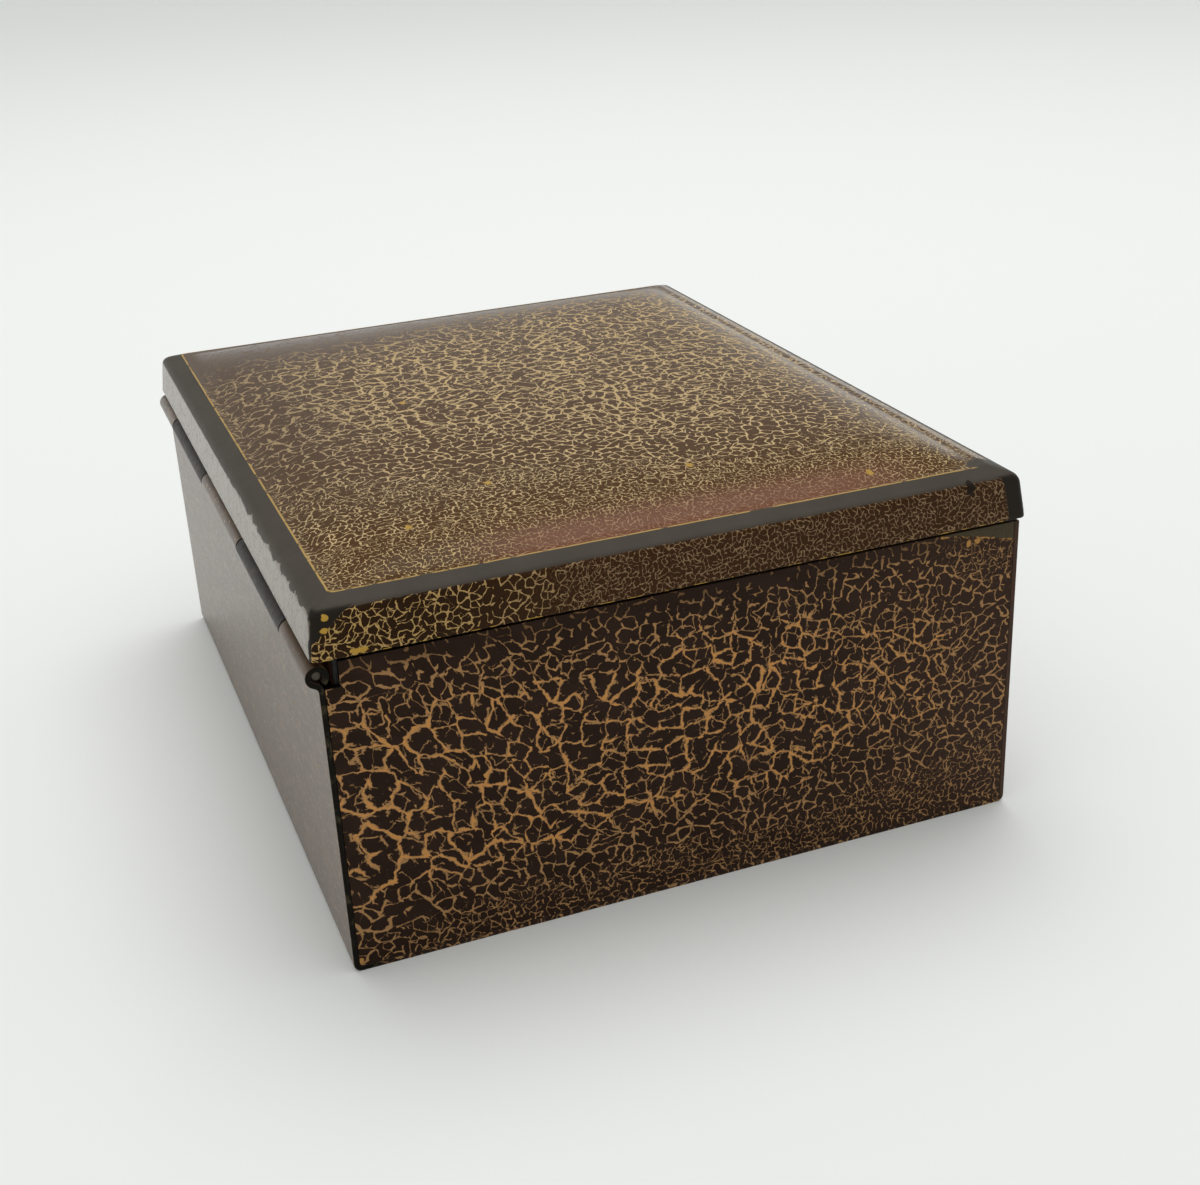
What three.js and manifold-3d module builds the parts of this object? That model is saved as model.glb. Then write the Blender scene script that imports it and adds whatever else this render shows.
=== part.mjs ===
// A hinged sheet-metal trinket box with a low domed lid and a thin cedar lining.
// Millimetres, +Z up. The origin is the middle of the underside, and +Y is the hinge side.
import * as THREE from "three";
import { mergeVertices } from "three/addons/utils/BufferGeometryUtils.js";
import Module from "manifold-3d";

// Sheet-metal body
const boxWidth = 102; // along the hinge, X
const boxDepth = 83; // front to back, Y
const rimHeight = 37.7; // table to rim
const sheet = 0.6; // thickness of all the sheet metal
const foldRadius = 0.9; // outside radius of the folds along the front and back of the floor
const seamGap = 0.05; // solder line between two sheets

// Lid
const lidGap = 0.5; // between the rim and the lid's lower edge
const lidOverhang = 0.6; // how far the lower edge stands out past the walls
const skirtHeight = 5.1; // lower edge to the top corner of the skirt
const skirtLean = 0.65; // how far the skirt leans in over its height
const skirtEdgeRound = 0.9; // how far the rounding reaches from the skirt's top corner
const lidCornerRadius = 0.9; // upright corners of the skirt
const bandWidth = 2.65; // plain border band round the dome
const bandRise = 0.85; // how far the band climbs to its inner edge
const bandCornerRadius = 0.8; // corners of the band's inner edge
const domeCrown = 2.2; // middle of the dome above the band's inner edge
const domeFullness = 4; // power of the dome's falling-off: 2 is a plain arch, more is fuller

// Hinge
const pinRadius = 0.55;
const pinClearance = 0.1; // round the pin, in the knuckles
const pinRecess = 0.5; // pin end behind the end of the tube
const endKnuckle = 13; // length of the two outer knuckles
const knuckleGap = 0.3; // between the ends of two knuckles
const sweepRadius = 0.9; // outward sweep from a sheet into its curl, on the sheet's middle line
const curlEnd = THREE.MathUtils.degToRad(235); // where the curl stops short of its own sheet
const leafHeight = 3.2; // strip that holds the lid's knuckles, up the inside of the skirt
const leafEndGap = 0.3; // leaf short of the round corners inside the skirt
const leafDrop = 0.15; // leaf below the skirt's edge before it sweeps out
const notchMargin = 1; // side plate's notch beside the hinge tube
const notchFloorMargin = 0.25; // the same notch, under the tube

// Cedar lining
const boardThickness = 2.2;
const boardFit = 0.25; // between the boards and the metal
const boardJoint = 0.1; // between two boards
const boardRise = 2.4; // top of the upright boards above the rim, inside the lid
const hingeRoom = 0.45; // between the hinge tube and the back board

// Fineness of the round stretches
const foldSteps = 4;
const curlSteps = 18;
const sweepSteps = 3;
const pinSides = 16;
const cornerSteps = 3;
const sideSteps = 8;
const domeSteps = 8;
const edgeSteps = 3;

// Hinge sizes that follow from the ones above
const boreRadius = pinRadius + pinClearance;
const curlRadius = boreRadius + sheet / 2; // middle line of the curl
const knuckleRadius = boreRadius + sheet;
const wallOffset = -sheet / 2; // middle of the back wall, from the hinge axis
const leafOffset = lidOverhang - sheet - seamGap - sheet / 2; // middle of the leaf, from the hinge axis
const hingeY = boxDepth / 2; // the axis lies in the plane of the back wall's outside
const axisDrop = sweepStart(leafOffset) + leafDrop - lidGap; // axis below the rim
const hingeZ = rimHeight - axisDrop;
const lidBase = rimHeight + lidGap;

const wasm = await Module();
wasm.setup();

// A closed geometry as a solid that can be joined to another.
function solidOf(geometry) {
  const bare = geometry.clone();
  bare.deleteAttribute("normal");
  bare.deleteAttribute("uv");
  const merged = mergeVertices(bare, 1e-5);
  const vertProperties = new Float32Array(merged.attributes.position.array);
  const triVerts = new Uint32Array(merged.index.array);
  return new wasm.Manifold(new wasm.Mesh({ numProp: 3, vertProperties, triVerts }));
}

function geometryOf(solid) {
  const mesh = solid.getMesh();
  const geometry = new THREE.BufferGeometry();
  geometry.setAttribute("position", new THREE.BufferAttribute(new Float32Array(mesh.vertProperties), 3));
  geometry.setIndex(new THREE.BufferAttribute(new Uint32Array(mesh.triVerts), 1));
  geometry.computeVertexNormals();
  return geometry;
}

function joined(geometries) {
  const solids = geometries.map(solidOf);
  return geometryOf(solids.reduce((sum, solid) => sum.add(solid)));
}

function arc(centreX, centreY, radius, fromAngle, toAngle, steps) {
  const clockwise = toAngle < fromAngle;
  const curve = new THREE.EllipseCurve(centreX, centreY, radius, radius, fromAngle, toAngle, clockwise);
  return curve.getPoints(steps);
}

// A point half a sheet to one side of a middle line, square to it and mitred at its corners.
function besideLine(line, index, distance) {
  const last = line.length - 1;
  const arriveAt = Math.max(index, 1);
  const leaveFrom = Math.min(index, last - 1);
  const arriving = line[arriveAt].clone().sub(line[arriveAt - 1]).normalize();
  const leaving = line[leaveFrom + 1].clone().sub(line[leaveFrom]).normalize();
  const along = arriving.clone().add(leaving).normalize();
  const mitre = distance / along.dot(leaving);
  return new THREE.Vector2(line[index].x - along.y * mitre, line[index].y + along.x * mitre);
}

// Outline of a sheet of even thickness whose middle line runs through the given points.
function sheetOutline(line) {
  const oneSide = line.map((point, index) => besideLine(line, index, sheet / 2));
  const otherSide = line.map((point, index) => besideLine(line, index, -sheet / 2));
  return new THREE.Shape([...oneSide, ...otherSide.reverse()]);
}

// An outline drawn in Y and Z, carried along X from one place to another.
function alongX(outline, fromX, toX) {
  const settings = { depth: toX - fromX, bevelEnabled: false, curveSegments: foldSteps };
  const geometry = new THREE.ExtrudeGeometry(outline, settings);
  const [x, y, z] = [new THREE.Vector3(1, 0, 0), new THREE.Vector3(0, 1, 0), new THREE.Vector3(0, 0, 1)];
  geometry.applyMatrix4(new THREE.Matrix4().makeBasis(y, z, x));
  geometry.translate(fromX, 0, 0);
  return geometry;
}

// How far from the axis a sheet at this offset starts its sweep, to run into the curl smoothly.
function sweepStart(offset) {
  return Math.sqrt((sweepRadius + curlRadius) ** 2 - (sweepRadius + offset) ** 2);
}

// Middle line of a knuckle about the axis: a sheet rises at this offset, sweeps out and curls round the pin.
function knuckleLine(offset) {
  const sweepY = sweepRadius + offset;
  const sweepZ = -sweepStart(offset);
  const meeting = Math.atan2(sweepZ, sweepY);
  const sweep = arc(sweepY, sweepZ, sweepRadius, Math.PI, Math.PI + meeting, sweepSteps);
  const curl = arc(0, 0, curlRadius, meeting, curlEnd, curlSteps);
  return [...sweep, ...curl.slice(1)];
}

// Start and end along X of each knuckle from left to right; the first, third and fifth belong to the body.
function knuckleSpans() {
  const middle = (boxWidth - 2 * endKnuckle) / 3;
  const lengths = [endKnuckle, middle, middle, middle, endKnuckle];
  let from = -boxWidth / 2;
  return lengths.map((length, index) => {
    const start = from + (index === 0 ? 0 : knuckleGap / 2);
    from += length;
    const end = from - (index === lengths.length - 1 ? 0 : knuckleGap / 2);
    return { start, end, onBody: index % 2 === 0 };
  });
}

function onAxis(point) {
  return new THREE.Vector2(hingeY + point.x, hingeZ + point.y);
}

// Front wall, floor and back wall in one folded sheet, with three knuckles rolled on the back wall.
function bodyWrap() {
  const fold = foldRadius - sheet / 2;
  const wallY = boxDepth / 2 - sheet / 2;
  const foldZ = sheet / 2 + fold;
  const wallTop = hingeZ - sweepStart(wallOffset);
  const walls = [
    new THREE.Vector2(-wallY, rimHeight),
    ...arc(-wallY + fold, foldZ, fold, Math.PI, 1.5 * Math.PI, foldSteps),
    ...arc(wallY - fold, foldZ, fold, 1.5 * Math.PI, 2 * Math.PI, foldSteps),
    new THREE.Vector2(wallY, wallTop),
  ];
  const foot = new THREE.Vector2(wallY, wallTop - foldRadius);
  const knuckle = sheetOutline([foot, ...knuckleLine(wallOffset).map(onAxis)]);
  const onBody = knuckleSpans().filter((span) => span.onBody);
  const sheets = [alongX(sheetOutline(walls), -boxWidth / 2, boxWidth / 2)];
  onBody.forEach((span) => sheets.push(alongX(knuckle, span.start, span.end)));
  return joined(sheets);
}

// Flat side let in between the walls, rounded at the folds and notched beside the hinge tube.
function sidePlate() {
  const edgeY = boxDepth / 2 - sheet - seamGap;
  const bottom = sheet + seamGap;
  const round = foldRadius - sheet;
  const notchY = hingeY - knuckleRadius - notchMargin;
  const notchZ = hingeZ - knuckleRadius - notchFloorMargin;
  const outline = new THREE.Shape();
  outline.moveTo(-edgeY, rimHeight);
  outline.lineTo(-edgeY, bottom + round);
  outline.absarc(-edgeY + round, bottom + round, round, Math.PI, 1.5 * Math.PI, false);
  outline.lineTo(edgeY - round, bottom);
  outline.absarc(edgeY - round, bottom + round, round, 1.5 * Math.PI, 2 * Math.PI, false);
  outline.lineTo(edgeY, notchZ);
  outline.lineTo(notchY, notchZ);
  outline.lineTo(notchY, rimHeight);
  return alongX(outline, 0, sheet);
}

// Points round a rounded rectangle, always as many, so that rings of different sizes can be skinned.
function rectangleRing(halfX, halfY, radius) {
  const corners = [[1, 1], [-1, 1], [-1, -1], [1, -1]];
  const arcs = corners.map(([signX, signY], index) => {
    const centreX = signX * (halfX - radius);
    const centreY = signY * (halfY - radius);
    const start = (index * Math.PI) / 2;
    return arc(centreX, centreY, radius, start, start + Math.PI / 2, cornerSteps);
  });
  return arcs.flatMap((points, index) => {
    const from = points[points.length - 1];
    const to = arcs[(index + 1) % arcs.length][0];
    const side = [];
    for (let step = 1; step < sideSteps; step += 1) {
      side.push(from.clone().lerp(to, step / sideSteps));
    }
    return [...points, ...side];
  });
}

// A ring of the lid at one inset from its lower edge and one height over it.
function lidRing(inset, height) {
  const halfX = boxWidth / 2 + lidOverhang - inset;
  const halfY = boxDepth / 2 + lidOverhang - inset;
  const radius = Math.max(lidCornerRadius - inset, bandCornerRadius);
  const ring = rectangleRing(halfX, halfY, radius);
  return ring.map((point) => new THREE.Vector3(point.x, point.y, lidBase + height));
}

// The dome's rings from near its middle to its edge: the edge ring drawn in evenly,
// each point raised by an arch across X times an arch across Y.
function domeRings(drop) {
  const inset = skirtLean + bandWidth;
  const halfX = boxWidth / 2 + lidOverhang - inset;
  const halfY = boxDepth / 2 + lidOverhang - inset;
  const edge = lidRing(inset, skirtHeight + bandRise - drop);
  const rings = [];
  for (let step = 1; step <= domeSteps; step += 1) {
    const share = step / domeSteps;
    rings.push(
      edge.map((point) => {
        const archX = 1 - Math.abs((share * point.x) / halfX) ** domeFullness;
        const archY = 1 - Math.abs((share * point.y) / halfY) ** domeFullness;
        return new THREE.Vector3(share * point.x, share * point.y, point.z + domeCrown * archX * archY);
      }),
    );
  }
  return rings;
}

// A closed surface from one end point over rings of equal length to another end point.
function skinned(rings, firstPoint, lastPoint) {
  const count = rings[0].length;
  const positions = [firstPoint, ...rings.flat(), lastPoint].flatMap((point) => point.toArray());
  const lastIndex = rings.length * count + 1;
  const at = (ring, place) => 1 + ring * count + (place % count);
  const faces = [];
  for (let place = 0; place < count; place += 1) {
    faces.push(0, at(0, place), at(0, place + 1));
    for (let ring = 0; ring + 1 < rings.length; ring += 1) {
      faces.push(at(ring, place), at(ring + 1, place), at(ring + 1, place + 1));
      faces.push(at(ring, place), at(ring + 1, place + 1), at(ring, place + 1));
    }
    faces.push(lastIndex, at(rings.length - 1, place + 1), at(rings.length - 1, place));
  }
  const geometry = new THREE.BufferGeometry();
  geometry.setAttribute("position", new THREE.Float32BufferAttribute(positions, 3));
  geometry.setIndex(faces);
  geometry.computeVertexNormals();
  return geometry;
}

// One pressed sheet: dome, sloped border band, rounded edge and leaning skirt, then back up its inside.
function lidShell() {
  const corner = new THREE.Vector2(skirtLean, skirtHeight);
  const bandInner = new THREE.Vector2(skirtLean + bandWidth, skirtHeight + bandRise);
  const lowerEdge = new THREE.Vector2(0, 0);
  const towards = (target) => corner.clone().add(target.clone().sub(corner).setLength(skirtEdgeRound));
  const rounding = new THREE.QuadraticBezierCurve(towards(bandInner), corner, towards(lowerEdge));
  const outside = [...rounding.getPoints(edgeSteps), lowerEdge];
  const inside = [new THREE.Vector2(sheet, 0), new THREE.Vector2(skirtLean + sheet, skirtHeight - sheet)];
  const rings = [
    ...domeRings(0),
    ...[...outside, ...inside].map((point) => lidRing(point.x, point.y)),
    ...domeRings(sheet).reverse(),
  ];
  const top = new THREE.Vector3(0, 0, lidBase + skirtHeight + bandRise + domeCrown);
  const underTop = top.clone().setZ(top.z - sheet);
  return skinned(rings, top, underTop);
}

// Strip along the inside of the rear skirt, with two knuckles that curl under the pin.
function lidHingeLeaf() {
  const edge = new THREE.Vector2(leafOffset, lidBase - hingeZ);
  const leafLean = (skirtLean * leafHeight) / (skirtHeight - sheet); // as steep as the skirt's inside
  const top = new THREE.Vector2(leafOffset - leafLean, edge.y + leafHeight);
  const curl = knuckleLine(leafOffset).map((point) => new THREE.Vector2(point.x, -point.y));
  const strip = sheetOutline([top, edge].map(onAxis));
  const knuckle = sheetOutline([top, edge, ...curl].map(onAxis));
  const insideCorner = boxWidth / 2 + lidOverhang - sheet - skirtLean;
  const halfLength = insideCorner - Math.max(lidCornerRadius, bandCornerRadius) - leafEndGap;
  const onLid = knuckleSpans().filter((span) => !span.onBody);
  const sheets = [alongX(strip, -halfLength, halfLength)];
  onLid.forEach((span) => sheets.push(alongX(knuckle, span.start, span.end)));
  return joined(sheets);
}

function hingePin() {
  const geometry = new THREE.CylinderGeometry(pinRadius, pinRadius, boxWidth - 2 * pinRecess, pinSides);
  geometry.rotateZ(Math.PI / 2);
  return geometry.translate(0, hingeY, hingeZ);
}

// A board between two corners.
function board(low, high) {
  const size = new THREE.Vector3(...high).sub(new THREE.Vector3(...low));
  const middle = new THREE.Vector3(...high).add(new THREE.Vector3(...low)).multiplyScalar(0.5);
  return new THREE.BoxGeometry(size.x, size.y, size.z).translate(middle.x, middle.y, middle.z);
}

// Floor board, then front and back boards over its edges, then the two side boards between them.
function liningBoards() {
  const sideX = boxWidth / 2 - sheet - boardFit;
  const frontY = -boxDepth / 2 + sheet + boardFit;
  const backY = hingeY - knuckleRadius - hingeRoom;
  const floorZ = sheet + boardFit;
  const standZ = floorZ + boardThickness + boardJoint;
  const topZ = rimHeight + boardRise;
  const betweenFront = frontY + boardThickness + boardJoint;
  const betweenBack = backY - boardThickness - boardJoint;
  const insideX = sideX - boardThickness;
  return {
    liner_floor: board([-sideX, frontY, floorZ], [sideX, backY, floorZ + boardThickness]),
    liner_front: board([-sideX, frontY, standZ], [sideX, frontY + boardThickness, topZ]),
    liner_back: board([-sideX, backY - boardThickness, standZ], [sideX, backY, topZ]),
    liner_left: board([-sideX, betweenFront, standZ], [-insideX, betweenBack, topZ]),
    liner_right: board([insideX, betweenFront, standZ], [sideX, betweenBack, topZ]),
  };
}

// Finishes
const bodyLacquer = { color: 0x3b2b24, roughness: 0.32, metalness: 0.1 };
const lidLacquer = { color: 0x6a4f30, roughness: 0.3, metalness: 0.1 };
const darkMetal = { color: 0x4a453d, roughness: 0.4, metalness: 0.7 };
const steelWire = { color: 0x6b675f, roughness: 0.45, metalness: 0.9 };
const cedar = { color: 0x8c5a38, roughness: 0.65, metalness: 0 };

function piece(group, name, geometry, finish) {
  const mesh = new THREE.Mesh(geometry, new THREE.MeshStandardMaterial(finish));
  mesh.name = name;
  group.add(mesh);
  return mesh;
}

const trinketBox = new THREE.Group();
const body = new THREE.Group();
const lid = new THREE.Group();
trinketBox.add(body, lid);

piece(body, "body_wrap", bodyWrap(), bodyLacquer);
piece(body, "side_plate_left", sidePlate(), bodyLacquer).position.x = -boxWidth / 2;
piece(body, "side_plate_right", sidePlate(), bodyLacquer).position.x = boxWidth / 2 - sheet;
piece(body, "hinge_pin", hingePin(), steelWire);
for (const [name, geometry] of Object.entries(liningBoards())) {
  piece(body, name, geometry, cedar);
}
piece(lid, "lid_shell", lidShell(), lidLacquer);
piece(lid, "lid_hinge_leaf", lidHingeLeaf(), darkMetal);

export default trinketBox;
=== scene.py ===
import math

import bpy
import numpy as np
from mathutils import Matrix, Vector


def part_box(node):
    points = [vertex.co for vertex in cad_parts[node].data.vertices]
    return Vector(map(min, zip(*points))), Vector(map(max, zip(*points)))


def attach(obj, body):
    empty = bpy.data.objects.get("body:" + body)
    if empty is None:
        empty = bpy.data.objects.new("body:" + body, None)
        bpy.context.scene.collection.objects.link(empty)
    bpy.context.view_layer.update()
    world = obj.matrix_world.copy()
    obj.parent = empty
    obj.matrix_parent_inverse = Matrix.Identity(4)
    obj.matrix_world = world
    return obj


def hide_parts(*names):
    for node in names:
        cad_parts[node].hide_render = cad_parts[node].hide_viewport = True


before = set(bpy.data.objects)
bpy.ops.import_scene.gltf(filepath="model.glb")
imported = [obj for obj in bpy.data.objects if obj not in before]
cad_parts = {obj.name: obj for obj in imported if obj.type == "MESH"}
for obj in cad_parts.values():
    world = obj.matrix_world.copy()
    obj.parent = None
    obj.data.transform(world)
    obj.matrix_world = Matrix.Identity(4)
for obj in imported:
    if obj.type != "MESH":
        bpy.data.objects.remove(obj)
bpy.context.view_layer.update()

# A hinged sheet-metal trinket box in crackle lacquer, with a low domed lid and a cedar lining.
# Lengths are millimetres in the box's own frame, and turn into metres where a mesh, light or camera is made.
MM = 0.001


def node_box(node):
    """Lowest and highest corner of a CAD node, in millimetres."""
    low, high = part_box(node)
    return np.array(low) / MM, np.array(high) / MM


# Sizes read from the frame
WRAP_LOW, WRAP_HIGH = node_box("body_wrap")
PLATE_LOW, PLATE_HIGH = node_box("side_plate_left")
LID_LOW, LID_HIGH = node_box("lid_shell")
PIN_LOW, PIN_HIGH = node_box("hinge_pin")
_, LEAF_HIGH = node_box("lid_hinge_leaf")
HALF_WIDTH = WRAP_HIGH[0]
HALF_DEPTH = -WRAP_LOW[1]
RIM_Z = WRAP_HIGH[2]
SHEET = PLATE_HIGH[0] - PLATE_LOW[0]
PLATE_EDGE = PLATE_HIGH[1]
PLATE_FOOT = PLATE_LOW[2]
LID_HALF_X = LID_HIGH[0]
LID_HALF_Y = LID_HIGH[1]
LID_BASE = LID_LOW[2]
PIN_RADIUS = (PIN_HIGH[2] - PIN_LOW[2]) / 2
HINGE_Y = (PIN_HIGH[1] + PIN_LOW[1]) / 2
HINGE_Z = (PIN_HIGH[2] + PIN_LOW[2]) / 2
LEAF_HALF = LEAF_HIGH[0]
LEAF_TOP = LEAF_HIGH[2]

# Folded sheet and hinge
FOLD_RADIUS = 0.9
PIN_CLEARANCE = 0.1
SWEEP_RADIUS = 0.9
CURL_END = math.radians(235)
END_KNUCKLE = 13.0
KNUCKLE_GAP = 0.3
NOTCH_MARGIN = 1.0
NOTCH_FLOOR_MARGIN = 0.25
LEAF_SEAM = 0.05
CURL_RADIUS = PIN_RADIUS + PIN_CLEARANCE + SHEET / 2
KNUCKLE_RADIUS = CURL_RADIUS + SHEET / 2
CUT_EASE = 0.08
CUT_ANGLE = math.radians(50)

# Lid
SKIRT_HEIGHT = 5.1
SKIRT_LEAN = 0.65
SKIRT_ROUND = 0.9
SKIRT_CORNER = 0.9
BAND_WIDTH = 2.65
BAND_RISE = 0.85
BAND_CORNER = 0.8
BAND_INSET = SKIRT_LEAN + BAND_WIDTH
BAND_TOP = SKIRT_HEIGHT + BAND_RISE
DOME_RISE = LID_HIGH[2] - LID_BASE - BAND_TOP
DOME_HALF_X = LID_HALF_X - BAND_INSET
DOME_HALF_Y = LID_HALF_Y - BAND_INSET
DOME_FULLNESS = 11.0
DOME_SWELL = 0.18
DOME_LEDGE = 0.9
DOME_FOOT = 0.2
FOOT_WIDTH = 5.0

# Fineness of the meshes
FLAT_STEP = 2.5
FOLD_STEPS = 8
SWEEP_STEPS = 6
CURL_STEPS = 28
CORNER_STEPS = 8
SIDE_STEPS = 40
PLATE_CORNER_STEPS = 4
SHOULDER_STEPS = 6
LOWER_EASE_STEPS = 3
LEAF_STEP = 1.0
LEAF_FOOT_STEP = 0.2


# Lines

def straight(start, stop, spacing=FLAT_STEP):
    """Evenly spaced points from start to stop, both included."""
    start = np.array(start, float)
    way = np.array(stop, float) - start
    steps = max(1, math.ceil(np.linalg.norm(way) / spacing))
    return start + way * np.linspace(0, 1, steps + 1)[:, None]


def arc(centre, radius, start, stop, steps):
    """Points on a circle about centre, from the start angle to the stop angle."""
    angle = np.linspace(start, stop, steps + 1)
    return np.array(centre) + radius * np.stack([np.cos(angle), np.sin(angle)], axis=1)


def eased(corner, before, after, reach, steps):
    """A corner rounded off: a quadratic curve from reach before the corner to reach after it."""
    corner = np.array(corner, float)
    leave = np.array(before, float) - corner
    arrive = np.array(after, float) - corner
    first = corner + leave * reach / np.linalg.norm(leave)
    last = corner + arrive * reach / np.linalg.norm(arrive)
    t = np.linspace(0, 1, steps + 1)[:, None]
    return first * (1 - t) ** 2 + corner * 2 * t * (1 - t) + last * t ** 2


def follow_on(*lines):
    """One line made of several that follow each other, with shared end points taken once."""
    return np.concatenate([lines[0], *(line[1:] for line in lines[1:])])


def run_along(line):
    """Distance along a line at each of its points."""
    step = np.linalg.norm(np.diff(line, axis=0), axis=1)
    return np.concatenate([[0.0], np.cumsum(step)])


def stations(stops, spacing=FLAT_STEP):
    """Places that pass through every stop, evenly spaced in between."""
    pairs = zip(stops[:-1], stops[1:])
    return follow_on(*(np.linspace(a, b, max(1, math.ceil((b - a) / spacing)) + 1) for a, b in pairs))


def ramp(low, high, value):
    """0 below low, 1 above high, and an even S between them."""
    share = np.clip((value - low) / (high - low), 0, 1)
    return share * share * (3 - 2 * share)


def triples(first, second, third):
    """Three numbers for every point of a grid, each given as a grid, a row, a column or a single number."""
    return np.stack(np.broadcast_arrays(first, second, third), axis=-1)


# Meshes

def grid_quads(rows, columns, closed=False):
    """Quads between neighbouring points of a grid, which face along row step x column step."""
    index = np.arange(rows * columns).reshape(rows, columns)
    if closed:
        index = np.concatenate([index, index[:, :1]], axis=1)
    return np.stack([index[:-1, :-1], index[1:, :-1], index[1:, 1:], index[:-1, 1:]], axis=-1)


def put_on(mesh, name, values):
    """Keeps three numbers for every point of a mesh, for its material to read."""
    attribute = mesh.attributes.new(name, "FLOAT_VECTOR", "POINT")
    attribute.data.foreach_set("vector", np.asarray(values, np.float32).ravel())


def make_piece(name, points, faces, fields, finishes, finish_of_face=None):
    """A smooth mesh object from points in millimetres, its faces, its fields of numbers and its finishes."""
    mesh = bpy.data.meshes.new(name)
    mesh.from_pydata((points * MM).tolist(), [], faces)
    for field, values in fields.items():
        put_on(mesh, field, values)
    for finish in finishes:
        mesh.materials.append(finish)
    if finish_of_face is not None:
        mesh.polygons.foreach_set("material_index", np.asarray(finish_of_face, np.int32))
    mesh.shade_smooth()
    mesh.update()
    piece = bpy.data.objects.new(name, mesh)
    bpy.context.scene.collection.objects.link(piece)
    return piece


def belongs(piece, body, node):
    """Ties a piece to its body and hides the CAD node that it stands for."""
    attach(piece, body)
    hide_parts(node)


def sheet_piece(name, points, kept, fields, finishes):
    """Sheet metal from its middle surface: the kept quads of a grid of points, given the sheet's
    thickness and eased cut edges. The finishes are the outside, the inside and the cut edge."""
    rows, columns = points.shape[:2]
    quads = grid_quads(rows, columns)[kept]
    used, renumbered = np.unique(quads, return_inverse=True)
    flat_fields = {field: values.reshape(-1, 3)[used] for field, values in fields.items()}
    faces = renumbered.reshape(-1, 4).tolist()
    piece = make_piece(name, points.reshape(-1, 3)[used], faces, flat_fields, finishes)
    solidify = piece.modifiers.new("thickness", "SOLIDIFY")
    solidify.thickness = SHEET * MM
    solidify.offset = 0
    solidify.use_even_offset = True
    solidify.use_quality_normals = True
    solidify.material_offset = 1
    solidify.material_offset_rim = 2
    ease = piece.modifiers.new("eased_edges", "BEVEL")
    ease.width = CUT_EASE * MM
    ease.segments = 2
    ease.limit_method = "ANGLE"
    ease.angle_limit = CUT_ANGLE
    piece.modifiers.new("flat_faces_stay_flat", "WEIGHTED_NORMAL")
    return piece


# Wires: the numbers, places and colours that run between the nodes of a material

def maths_node(operation):
    """A method of wires that makes a Math node of this kind."""
    def method(wire, *others):
        return new_node(wire.tree, "ShaderNodeMath", (wire, *others), operation=operation)
    return method


class Wire:
    """A number, place or colour that varies over a surface. Sums, products and the like become Math
    nodes."""

    def __init__(self, socket):
        self.socket = socket
        self.tree = socket.id_data

    __add__ = __radd__ = maths_node("ADD")
    __sub__ = maths_node("SUBTRACT")
    __mul__ = __rmul__ = maths_node("MULTIPLY")
    __truediv__ = maths_node("DIVIDE")
    times_plus = maths_node("MULTIPLY_ADD")
    at_most = maths_node("MINIMUM")
    at_least = maths_node("MAXIMUM")
    less_than = maths_node("LESS_THAN")
    size = maths_node("ABSOLUTE")
    sign = maths_node("SIGN")
    fraction = maths_node("FRACT")

    def __rsub__(self, other):
        return self.times_plus(-1.0, other)

    def share(self):
        """The number kept between 0 and 1."""
        return self.at_least(0.0).at_most(1.0)

    def step(self, low, high):
        """0 at low, 1 at high, and an even S between them."""
        return new_node(self.tree, "ShaderNodeMapRange", (self, low, high), interpolation_type="SMOOTHSTEP")


def feed(socket, value):
    """Sets a socket to a value, or links a wire to it."""
    if isinstance(value, Wire):
        value.tree.links.new(value.socket, socket)
    else:
        socket.default_value = value


def new_node(tree, kind, values=(), output=0, **settings):
    """An outlet of a new node with these settings, whose sockets are fed these values, in order or by
    name."""
    made = tree.nodes.new(kind)
    for setting, value in settings.items():
        setattr(made, setting, value)
    named = values if isinstance(values, dict) else dict(enumerate(values))
    for socket, value in named.items():
        feed(made.inputs[socket], value)
    return Wire(made.outputs[output])


def on_places(operation, *places):
    """A vector sum, difference or the like of places."""
    return new_node(places[0].tree, "ShaderNodeVectorMath", places, operation=operation)


def scaled(place, factor):
    """A place times a number."""
    return new_node(place.tree, "ShaderNodeVectorMath", {0: place, "Scale": factor}, operation="SCALE")


def outlets_of(wire):
    """All the outlets of the node that a wire comes from."""
    return [Wire(socket) for socket in wire.socket.node.outputs]


def parts_of(place):
    """The X, Y and Z of a place."""
    return outlets_of(new_node(place.tree, "ShaderNodeSeparateXYZ", [place]))


def field(place, name):
    """The three numbers that a piece keeps for every point."""
    return new_node(place.tree, "ShaderNodeAttribute", output="Vector", attribute_name=name)


def noise(place, blotch, detail=2.0, output="Fac"):
    """Soft noise about 0.5, with blotches of this many millimetres."""
    values = {"Vector": place, "Scale": 1 / blotch, "Detail": detail}
    return new_node(place.tree, "ShaderNodeTexNoise", values, output)


def mixed(share, first, second):
    """The first colour where share is 0, the second where it is 1."""
    return new_node(share.tree, "ShaderNodeMix", {"Factor": share, 6: first, 7: second}, 2, data_type="RGBA")


def relief(height, depth):
    """A surface normal tilted by a height from 0 to 1 that stands for this many millimetres."""
    return new_node(height.tree, "ShaderNodeBump", {"Distance": depth * MM, "Height": height}, "Normal")


def paint(red, green, blue):
    """A colour as it reads on a screen, from 0 to 255, in the linear numbers that a shader takes."""
    screen = np.array([red, green, blue]) / 255
    linear = np.where(screen <= 0.04045, screen / 12.92, ((screen + 0.055) / 1.055) ** 2.4)
    return (*linear.tolist(), 1.0)


def new_material(name):
    """A material with one shader, and where a point of its piece lies, in millimetres."""
    material = bpy.data.materials.new(name)
    material.use_nodes = True
    place = new_node(material.node_tree, "ShaderNodeTexCoord", output="Object")
    return material, scaled(place, 1 / MM)


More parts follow.
